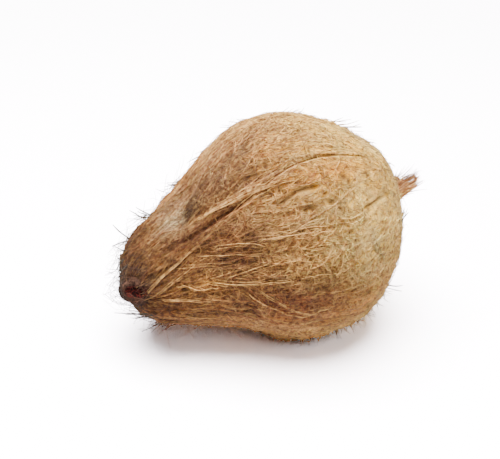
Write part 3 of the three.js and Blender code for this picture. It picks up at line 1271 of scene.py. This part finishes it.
class COCONUT_OT_fuzz(bpy.types.Operator):
    """Stand the short fuzz on the whole coat"""

    bl_idname = "coconut.fuzz"
    bl_label = "Fuzz"

    def execute(self, context):
        settings = context.scene.coconut.fibre
        rng = np.random.default_rng(109)
        rings = 4
        run, turn = scatter(rng, settings.fuzz, smooth(-96, -90, coat.along_mm) + 0.01)
        count = len(run)
        heading = math.pi * (rng.random(count) < 0.5) + 0.6 * rng.standard_normal(count)
        length = rng.uniform(2, 5.5, count) * MM
        bend = rng.normal(0, 0.2, count)
        runs, turns = grow(run, turn, heading, length, rings, bend, 0.1, rng)
        tip = rng.uniform(0.5, 1.9, count)[:, None] * MM
        paths, normals = raise_routes(runs, turns, tip * np.linspace(0, 1, rings) + 0.1 * MM)
        radii = tapered(rng.uniform(0.06, 0.11, count) * MM, rings, 1, 0.5)
        tints = fibre_tints(rng, settings, runs, turns, 1.0, 0.2, 0.3, 0.15)
        lay_fibres("short_fuzz", paths, normals, radii, tints)
        return {"FINISHED"}


class COCONUT_OT_lips(bpy.types.Operator):
    """Lay the fibres that run along both lips of the crease"""

    bl_idname = "coconut.lips"
    bl_label = "Crease lips"

    def execute(self, context):
        settings = context.scene.coconut.fibre
        rng = np.random.default_rng(LIPS.seed)
        count = settings.lips
        middle = rng.uniform(CREASE[0][0], CREASE[-1][0] - 2, count)
        opened = crease_opening(middle)
        length = rng.gamma(6, 1.8, count).clip(5, 22) * (0.7 + 0.6 * opened)
        along_mm = middle[:, None] + length[:, None] * np.linspace(-0.5, 0.5, LIPS.rings)
        side = np.where(rng.random(count) < 0.55, -1, 1)
        beside = (0.5 + 0.8 * opened + np.abs(rng.normal(0, 0.7 + 0.7 * opened))) * MM
        spread = np.abs(rng.normal(0, 0.5, (count, 1))) * MM * np.linspace(-1, 1, LIPS.rings) ** 2
        runs = coat.run_at(along_mm)
        turns = path_turn(CREASE, along_mm)
        away = side[:, None] * (beside[:, None] + spread)
        turns = turns + away / coat.read(coat.girth, runs, turns)
        lift = rng.uniform(0.1, 0.5 + 0.5 * opened, count) * MM
        lay_layer(rng, settings, LIPS, runs, turns, lift)
        return {"FINISHED"}


# Groups of stiff hairs: a place, a spread, how many, their heading and how steeply they stand
# in degrees, how long they are in millimetres, how much they curl, the share that are dark and
# how thick they are at the root, as a radius in millimetres.
STIFF_HAIRS = (
    ((-83, -22), (0.6, 2), 2, 176, 68, 12, 0.9, 1, 0.42),
    ((-87, 2), (2, 10), 3, 182, 46, 10, 0.5, 1, 0.3),
    ((-90, 22), (2, 10), 4, 186, 34, 10, 0.4, 1, 0.26),
    ((-81, 103), (1, 3), 3, 178, 9, 23, 0.12, 1, 0.34),
    ((-78, 114), (1.5, 3), 3, 174, 24, 18, 0.4, 1, 0.28),
    ((-75, 124), (2.5, 4), 10, 184, 38, 12, 1, 0.6, 0.22),
    ((-68, 140), (2, 3), 3, 174, 14, 17, 0.3, 1, 0.36),
    ((-50, 146), (5, 8), 8, 180, 14, 14, 0.3, 0.6, 0.17),
    ((-69, -25), (5, 6), 8, 168, 60, 13, 0.45, 1, 0.34),
    ((-52, -31), (6, 7), 9, 172, 38, 10, 0.45, 1, 0.24),
    ((-30, -33), (5, 5), 9, 178, 18, 12, 0.2, 0.8, 0.2),
    ((-8, -33), (6, 5), 9, 172, 26, 8, 0.3, 0.7, 0.19),
    ((14, -33), (6, 5), 9, 10, 26, 8, 0.3, 0.7, 0.19),
    ((37, -22), (5, 8), 10, 0, 22, 12, 0.2, 0.6, 0.22),
    ((49, 20), (4, 30), 12, 10, 24, 7, 0.3, 0.5, 0.18),
    ((53, 100), (2, 10), 4, -60, 30, 8, 0.2, 1, 0.32),
    ((37, 132), (1.5, 3), 3, 60, 56, 10, 0.3, 0.8, 0.36),
    ((0, 147), (36, 5), 220, 92, 46, 7, 0.5, 0.15, 0.17),
    ((-60, 235), (10, 20), 14, 180, 24, 13, 0.3, 0.6, 0.22),
    ((10, 250), (30, 30), 22, 180, 24, 9, 0.3, 0.4, 0.18),
    ((-86, 210), (4, 50), 10, 180, 28, 9, 0.3, 0.7, 0.22),
)


def standing_hairs(rng, rings, place, spread, count, heading, tilt, length, curl):
    """Paths of free hairs that leave the coat around a place, with the coat's normals and the
    run and turn of each root."""
    run = coat.run_at(place[0] + spread[0] * rng.uniform(-1, 1, count))
    turn = np.radians(place[1] + spread[1] * rng.uniform(-1, 1, count))
    normal = unit(coat.read(coat.normals, run, turn))
    ahead = unit(coat.read(coat.lengthwise, run, turn))
    around = unit(np.cross(ahead, normal))
    heading = (math.radians(heading) + rng.normal(0, 0.25, count))[:, None]
    tilt = (math.radians(tilt) * rng.uniform(0.5, 1.4, count))[:, None]
    level = ahead * np.cos(heading) + around * np.sin(heading)
    way = level * np.cos(tilt) + normal * np.sin(tilt)
    bow = unit(np.cross(way, rng.standard_normal((count, 3))))
    length = (length * rng.uniform(0.5, 1.1, count) * MM)[:, None, None]
    along = np.linspace(0, 1, rings)[None, :, None]
    curls = curl * rng.uniform(-1, 1.4, (count, 1, 1))
    root = coat.read(coat.points, run, turn)
    paths = root[:, None] + length * (way[:, None] * along + bow[:, None] * curls * along**2)
    return paths, np.repeat(normal[:, None], rings, 1), run, turn


class COCONUT_OT_loose(bpy.types.Operator):
    """Stand the loose hairs off the coat"""

    bl_idname = "coconut.loose"
    bl_label = "Loose hairs"

    def execute(self, context):
        settings = context.scene.coconut.fibre
        rng = np.random.default_rng(105)
        rings = 9
        weight = (1 - smooth(-70, -30, coat.along_mm)) * smooth(-96, -90, coat.along_mm)
        run, turn = scatter(rng, settings.loose, 0.3 + 1.6 * weight)
        count = len(run)
        tuft = 1 - smooth(-75, -25, coat.read(coat.along_mm, run, turn))
        heading = 0.5 * rng.standard_normal(count)
        heading = heading + math.pi * (rng.random(count) < 0.2 + 0.5 * tuft)
        length = rng.gamma(4, (2.2 + 1.4 * tuft) * MM, count).clip(4 * MM, 26 * MM)
        bend = rng.normal(0, 0.16, count)
        runs, turns = grow(run, turn, heading, length, rings, bend, 0.12, rng)
        height = length * rng.beta(1.6, 3.0, count) * (0.6 + 0.8 * tuft)
        rise = np.linspace(0, 1, rings) ** rng.uniform(0.7, 2.2, (count, 1))
        heights = np.minimum(height, HAIR_REACH)[:, None] * rise
        paths, normals = raise_routes(runs, turns, heights)
        radii = rng.uniform(0.07, 0.14, count) * MM
        tints = fibre_tints(rng, settings, runs, turns, 0.6, 0.3, 0.1, 0.5)
        for at, spread, group, *form, dark, radius in STIFF_HAIRS:
            stiff, upright, run, turn = standing_hairs(rng, rings, at, spread, group, *form)
            own = 0.8 * coat.read(coat.colour, run, turn)
            darkened = (rng.random(group) < dark)[:, None]
            tint = np.where(darkened, np.array(settings.stiff_colour), own)[:, None]
            paths = np.concatenate((paths, stiff))
            normals = np.concatenate((normals, upright))
            tints = np.concatenate((tints, np.repeat(tint, rings, 1)))
            radii = np.concatenate((radii, rng.uniform(0.8, 1.3, group) * radius * MM))
        low, high = np.array(CAD_BOX)
        paths = np.clip(paths, low - HAIR_REACH, high + HAIR_REACH)
        lay_fibres("loose_hairs", paths, normals, tapered(radii, rings, 1, 0.5), tints)
        return {"FINISHED"}


def select_faces(piece, wanted):
    """Selects just the faces of the edited piece whose normal passes a test."""
    bpy.ops.object.mode_set(mode="OBJECT")
    for each in (piece.data.vertices, piece.data.edges, piece.data.polygons):
        each.foreach_set("select", np.zeros(len(each), bool))
    for face in piece.data.polygons:
        face.select = wanted(face.normal)
    bpy.ops.object.mode_set(mode="EDIT")
    bpy.ops.mesh.select_mode(type="FACE")


def roughened(piece, levels, bumps):
    """Applies subdivision and then each bump: a size and a height in metres."""
    subdivision = piece.modifiers.new("subdivision", "SUBSURF")
    subdivision.levels = subdivision.render_levels = levels
    bpy.ops.object.modifier_apply(modifier="subdivision")
    for size, height in bumps:
        cloud = bpy.data.textures.new("bumps", "CLOUDS")
        cloud.noise_scale, cloud.noise_depth = size, 2
        bump = piece.modifiers.new("bump", "DISPLACE")
        bump.texture, bump.texture_coords = cloud, "LOCAL"
        bump.strength, bump.mid_level = height, 0.5
        bpy.ops.object.modifier_apply(modifier="bump")


def stand_at(piece, place, way, top):
    """Moves a piece's mesh from the world's origin to a place, its +Z along a way."""
    z = Vector(way).normalized()
    x = Vector(top).cross(z).normalized()
    y = z.cross(x)
    set_mesh_points(piece.data, mesh_points(piece.data) @ np.array((x, y, z)) + place)
    piece.data.update()


KNOB_PLACE = (-87.4, 66)  # millimetres along and degrees of turn
KNOB_SINK = 3.2 * MM
KNOB_WAY = unit(-0.55 * ALONG + outward(np.radians(64.0)))
KNOB_STRETCH = 1.25  # how much wider than high
HOLLOW_FLATNESS = 0.66
BARK_LIGHT, BARK_DARK = hexed("3d2a20"), hexed("120a07")
# The hollow's darkest flakes, and the rim's painted highlight.
HOLLOW_DARK, RIM_HIGHLIGHT = hexed("120504"), hexed("84604f")


def knob_material(settings):
    """Weathered bark with a painted highlight on the rim's upper side, and flaking reddish wood in the
    hollow.
    """
    material, tree, shader = new_material("stalk_knob", 0.9, 0.08)
    hollow, rim = read_attribute(tree, "hollow"), read_attribute(tree, "rim")
    place = object_place(tree)
    bark = noise(tree, place, 420.0, 5.0, 0.65)
    flakes = noise(tree, place, 1100.0, 3.0, 0.6)
    light = blend_colour(tree, 0.5, tuple(settings.bark_colour), BARK_LIGHT)
    dark = blend_colour(tree, 0.75, tuple(settings.bark_colour), BARK_DARK)
    base = blend_colour(tree, stepped(tree, bark, 0.36, 0.6), dark, light)
    flaked = stepped(tree, flakes, 0.4, 0.62)
    inner = blend_colour(tree, flaked, HOLLOW_DARK, tuple(settings.hollow_colour))
    base = blend_colour(tree, hollow, base, inner)
    # Painted highlight on the upper rim, broken up by the bark.
    painted_highlight = times(tree, rim, stepped(tree, bark, 0.4, 0.55))
    base = blend_colour(tree, times(tree, painted_highlight, 0.25), base, RIM_HIGHLIGHT)
    height = maths(tree, "ADD", bark, times(tree, flakes, 0.4))
    wire_up(tree, shader, base, spread_out(tree, bark, 0.75, 0.95), height, 0.9, 0.5 * MM)
    return material


class COCONUT_OT_knob(bpy.types.Operator):
    """Make the dark knob of the old stalk, with its hollow scar"""

    bl_idname = "coconut.knob"
    bl_label = "Stalk knob"

    def execute(self, context):
        settings = context.scene.coconut.knob
        radius = settings.radius
        clear_selection()
        bpy.ops.mesh.primitive_cylinder_add(vertices=28, radius=radius, depth=settings.depth)
        piece = context.object
        bpy.ops.object.mode_set(mode="EDIT")
        # The rim, then the hollow's wall and floor, then the stump of the stalk in it.
        select_faces(piece, lambda normal: normal.z > 0.9)
        bpy.ops.mesh.inset(thickness=0.2 * radius)
        bpy.ops.transform.translate(value=(0, 0, 0.8 * MM))
        bpy.ops.mesh.inset(thickness=0.12 * radius)
        bpy.ops.transform.resize(value=(1, HOLLOW_FLATNESS, 1))
        bpy.ops.mesh.extrude_region_move(TRANSFORM_OT_translate={"value": (0, 0, -1.5 * MM)})
        bpy.ops.transform.resize(value=(0.86, 0.8, 1))
        bpy.ops.mesh.inset(thickness=0.14 * radius)
        bpy.ops.transform.translate(value=(0, 0, -0.7 * MM))
        bpy.ops.mesh.inset(thickness=0.1 * radius)
        bpy.ops.transform.translate(value=(0.5 * MM, 0.1 * MM, 0.9 * MM))
        # The root, which is wider and lies inside the coat.
        select_faces(piece, lambda normal: normal.z < -0.9)
        bpy.ops.transform.resize(value=(1.25, 1.25, 1))
        bpy.ops.mesh.inset(thickness=0.3 * radius)
        bpy.ops.mesh.select_all(action="SELECT")
        bpy.ops.transform.resize(value=(KNOB_STRETCH, 1, 1))
        bpy.ops.object.mode_set(mode="OBJECT")
        roughened(piece, 3, ((4 * MM, 1.6 * MM), (1.4 * MM, 0.6 * MM)))

        x, y, z = mesh_points(piece.data).T
        off = np.hypot(x / KNOB_STRETCH, y / HOLLOW_FLATNESS) / radius
        hollow = (1 - smooth(0.62, 0.82, off)) * smooth(0, 1.5 * MM, z)
        # The rim's painted highlight: a band round the rim, only on its upper side and towards one
        # end.
        rim = np.exp(-(((off - 1.1) / 0.3) ** 2)) * smooth(1.5 * MM, 3.5 * MM, z)
        rim = rim * smooth(0, 0.5 * radius, y) * (1 - smooth(0, 0.9 * radius, x))
        set_attribute(piece.data, "hollow", "FLOAT", hollow)
        set_attribute(piece.data, "rim", "FLOAT", rim)
        clear_selection()
        piece.select_set(True)
        bpy.ops.object.shade_smooth()
        run, turn = coat.run_at(KNOB_PLACE[0]), np.radians(float(KNOB_PLACE[1]))
        seat = coat.read(coat.smooth_points, run, turn)
        stand_at(piece, seat - KNOB_SINK * KNOB_WAY, KNOB_WAY, UP)
        piece.data.materials.append(knob_material(settings))
        finish_piece(piece, "stalk_knob")
        return {"FINISHED"}


POINT_WAY = unit(ALONG + 0.36 * UP + 0.04 * SIDE)
POINT_ROOT = NUT_CENTRE + ALONG * 55.5 * MM
POINT_CORE = hexed("d09458")


class COCONUT_OT_point(bpy.types.Operator):
    """Make the short frayed point at the far end"""

    bl_idname = "coconut.point"
    bl_label = "Frayed point"

    def execute(self, context):
        settings = context.scene.coconut.fibre
        rng = np.random.default_rng(106)
        clear_selection()
        bpy.ops.mesh.primitive_cone_add(
            vertices=20, radius1=5.6 * MM, radius2=1.7 * MM, depth=13 * MM
        )
        piece = context.object
        bpy.ops.object.mode_set(mode="EDIT")
        select_faces(piece, lambda normal: normal.z > 0.9)
        bpy.ops.mesh.inset(thickness=0.5 * MM)
        bpy.ops.transform.translate(value=(0.3 * MM, 0.6 * MM, -1.1 * MM))
        bpy.ops.object.mode_set(mode="OBJECT")
        roughened(piece, 3, ((5 * MM, 2.2 * MM), (1.5 * MM, 0.9 * MM)))
        bpy.ops.object.shade_smooth()
        stand_at(piece, POINT_ROOT + POINT_WAY * 5.5 * MM, POINT_WAY, UP)
        varied = np.exp(0.2 * rng.standard_normal((len(piece.data.vertices), 1)))
        set_attribute(piece.data, "tint", "FLOAT_COLOR", np.array(POINT_CORE) * varied)
        piece.data.materials.append(fibre_material())
        finish_piece(piece, "frayed_point")
        self.lay_ends(rng, settings)
        return {"FINISHED"}

    def lay_ends(self, rng, settings):
        """Lays the fibres that stand around the point and fray at its tip."""
        rings, count = 8, settings.ends
        along = np.linspace(0, 1, rings)[None, :, None]
        angle = rng.uniform(0, TAU, count)[:, None]
        level = unit(np.cross(POINT_WAY, UP))
        radial = np.cos(angle) * level + np.sin(angle) * np.cross(level, POINT_WAY)
        start = rng.uniform(3, 7.5, count)[:, None, None] * MM
        length = rng.gamma(6, 2.2 * MM, count).clip(6 * MM, 19 * MM)[:, None, None]
        flare = rng.normal(1.2, 2.3, count)[:, None, None] * MM
        bow = rng.standard_normal((count, 1, 3)) * 1.1 * MM
        off_axis = start * (1 - 0.6 * along**0.7) + flare * along**2
        paths = POINT_ROOT + radial[:, None] * off_axis
        paths = paths + POINT_WAY * (length * along - 1.2 * MM) + bow * along**2
        upper = (radial @ UP > 0.2)[:, None, None]
        has_nib = rng.random((count, 1, 1)) < np.where(upper, 0.6, 0.03)
        nib = has_nib * (0.35 + 0.65 * smooth(0.2, 0.9, along))
        varied = np.exp(0.28 * rng.standard_normal((count, 1, 1)))
        tints = mixed(np.array(settings.end_colour) * varied, settings.nib_colour, nib[..., 0])
        radii = tapered(rng.uniform(0.12, 0.34, count) * MM, rings)
        outwards = np.repeat(radial[:, None], rings, 1)
        lay_fibres("frayed_ends", paths, outwards, radii, np.clip(tints, DARKEST, 0.9))


# Light for the nut, and more of it for the eye, so that the paper and the room are plain white.
PAPER, PAPER_SEEN = (0.88, 0.87, 0.9), (3.55, 3.34, 3.5)
HAZE = (0.45, 1.1)  # metres from the middle, where the paper fades into the room
ROOM, ROOM_SEEN = 0.09, 9.0
# Softboxes: a name, a place and a size in metres, and a power in watts.
SOFTBOXES = (
    ("top_softbox", (-0.1, -0.04, 1.1), 1.1, 71),
    ("front_softbox", (0.6, -1.1, 0.95), 0.9, 6),
)
AIM = Vector((-9 * MM, 0, 59 * MM))  # what the lamps and the camera face


def aimed(thing, place):
    """Stands a lamp or a camera at a place, turned to the nut, and adds it to the scene."""
    thing.location = place
    thing.rotation_euler = (AIM - Vector(place)).to_track_quat("-Z", "Y").to_euler()
    bpy.context.scene.collection.objects.link(thing)


def floor_material():
    """Plain white paper, lit brighter for the eye than for the nut that lies on it."""
    material = bpy.data.materials.new("paper_floor")
    material.use_nodes = True
    tree = material.node_tree
    tree.nodes.remove(tree.nodes["Principled BSDF"])
    seen = tree.nodes.new("ShaderNodeLightPath").outputs["Is Camera Ray"]
    white = blend_colour(tree, seen, PAPER, PAPER_SEEN)
    paper = add_node(tree, "ShaderNodeBsdfDiffuse", {"Color": white})
    place = add_node(tree, "ShaderNodeNewGeometry").outputs["Position"]
    length = add_node(tree, "ShaderNodeVectorMath", {0: place}, operation="LENGTH")
    glow = times(tree, stepped(tree, length.outputs["Value"], *HAZE), seen)
    haze = add_node(tree, "ShaderNodeEmission", {"Strength": times(tree, glow, ROOM_SEEN)})
    both = add_node(tree, "ShaderNodeAddShader", {0: paper.outputs[0], 1: haze.outputs[0]})
    tree.links.new(both.outputs[0], tree.nodes["Material Output"].inputs["Surface"])
    return material


class COCONUT_OT_stage(bpy.types.Operator):
    """Set the floor, the lights and the camera"""

    bl_idname = "coconut.stage"
    bl_label = "Stage"

    def execute(self, context):
        settings = context.scene.coconut.stage
        clear_selection()
        bpy.ops.mesh.primitive_plane_add(size=settings.floor_size, location=(0, 0, 0))
        floor = context.object
        floor.name = "floor"
        floor.data.materials.append(floor_material())

        world = bpy.data.worlds.new("soft_room")
        world.use_nodes = True
        tree = world.node_tree
        seen = tree.nodes.new("ShaderNodeLightPath").outputs["Is Camera Ray"]
        background = tree.nodes["Background"].inputs
        background["Color"].default_value = (1, 1, 1, 1)
        tree.links.new(spread_out(tree, seen, ROOM, ROOM_SEEN), background["Strength"])
        context.scene.world = world

        for name, place, size, power in SOFTBOXES:
            light = bpy.data.lights.new(name, "AREA")
            light.shape, light.size, light.energy = "DISK", size, power
            aimed(bpy.data.objects.new(name, light), place)

        lens = bpy.data.cameras.new("camera")
        lens.lens, lens.sensor_width = settings.lens, 36
        lens.clip_start, lens.clip_end = 0.01, 50
        camera = bpy.data.objects.new("camera", lens)
        a, e = settings.azimuth, settings.elevation
        back = Vector((math.sin(a) * math.cos(e), -math.cos(a) * math.cos(e), math.sin(e)))
        aimed(camera, AIM + back * settings.distance)
        context.scene.camera = camera
        return {"FINISHED"}


OPERATORS = (
    COCONUT_OT_coat,
    COCONUT_OT_combed,
    COCONUT_OT_matted,
    COCONUT_OT_curls,
    COCONUT_OT_felted,
    COCONUT_OT_strands,
    COCONUT_OT_fuzz,
    COCONUT_OT_lips,
    COCONUT_OT_loose,
    COCONUT_OT_knob,
    COCONUT_OT_point,
    COCONUT_OT_stage,
)


class COCONUT_PT_parts(bpy.types.Panel):
    bl_label = "Coconut"
    bl_idname = "COCONUT_PT_parts"
    bl_space_type = "VIEW_3D"
    bl_region_type = "UI"
    bl_category = "Coconut"

    def draw(self, context):
        for operator in OPERATORS:
            self.layout.operator(operator.bl_idname)
        for group in ("coat", "fibre", "knob", "stage"):
            settings = getattr(context.scene.coconut, group)
            for key in settings.bl_rna.properties.keys():
                if key not in {"rna_type", "name"}:
                    self.layout.prop(settings, key)


CLASSES = (
    CoatSettings,
    FibreSettings,
    KnobSettings,
    StageSettings,
    CoconutSettings,
    *OPERATORS,
    COCONUT_PT_parts,
)


def register():
    for each in CLASSES:
        bpy.utils.register_class(each)
    bpy.types.Scene.coconut = PointerProperty(type=CoconutSettings)


def unregister():
    del bpy.types.Scene.coconut
    for each in reversed(CLASSES):
        bpy.utils.unregister_class(each)


def main():
    register()
    for operator in OPERATORS:
        group, name = operator.bl_idname.split(".")
        getattr(getattr(bpy.ops, group), name)()
    bpy.context.view_layer.update()


if __name__ == "__main__":
    main()
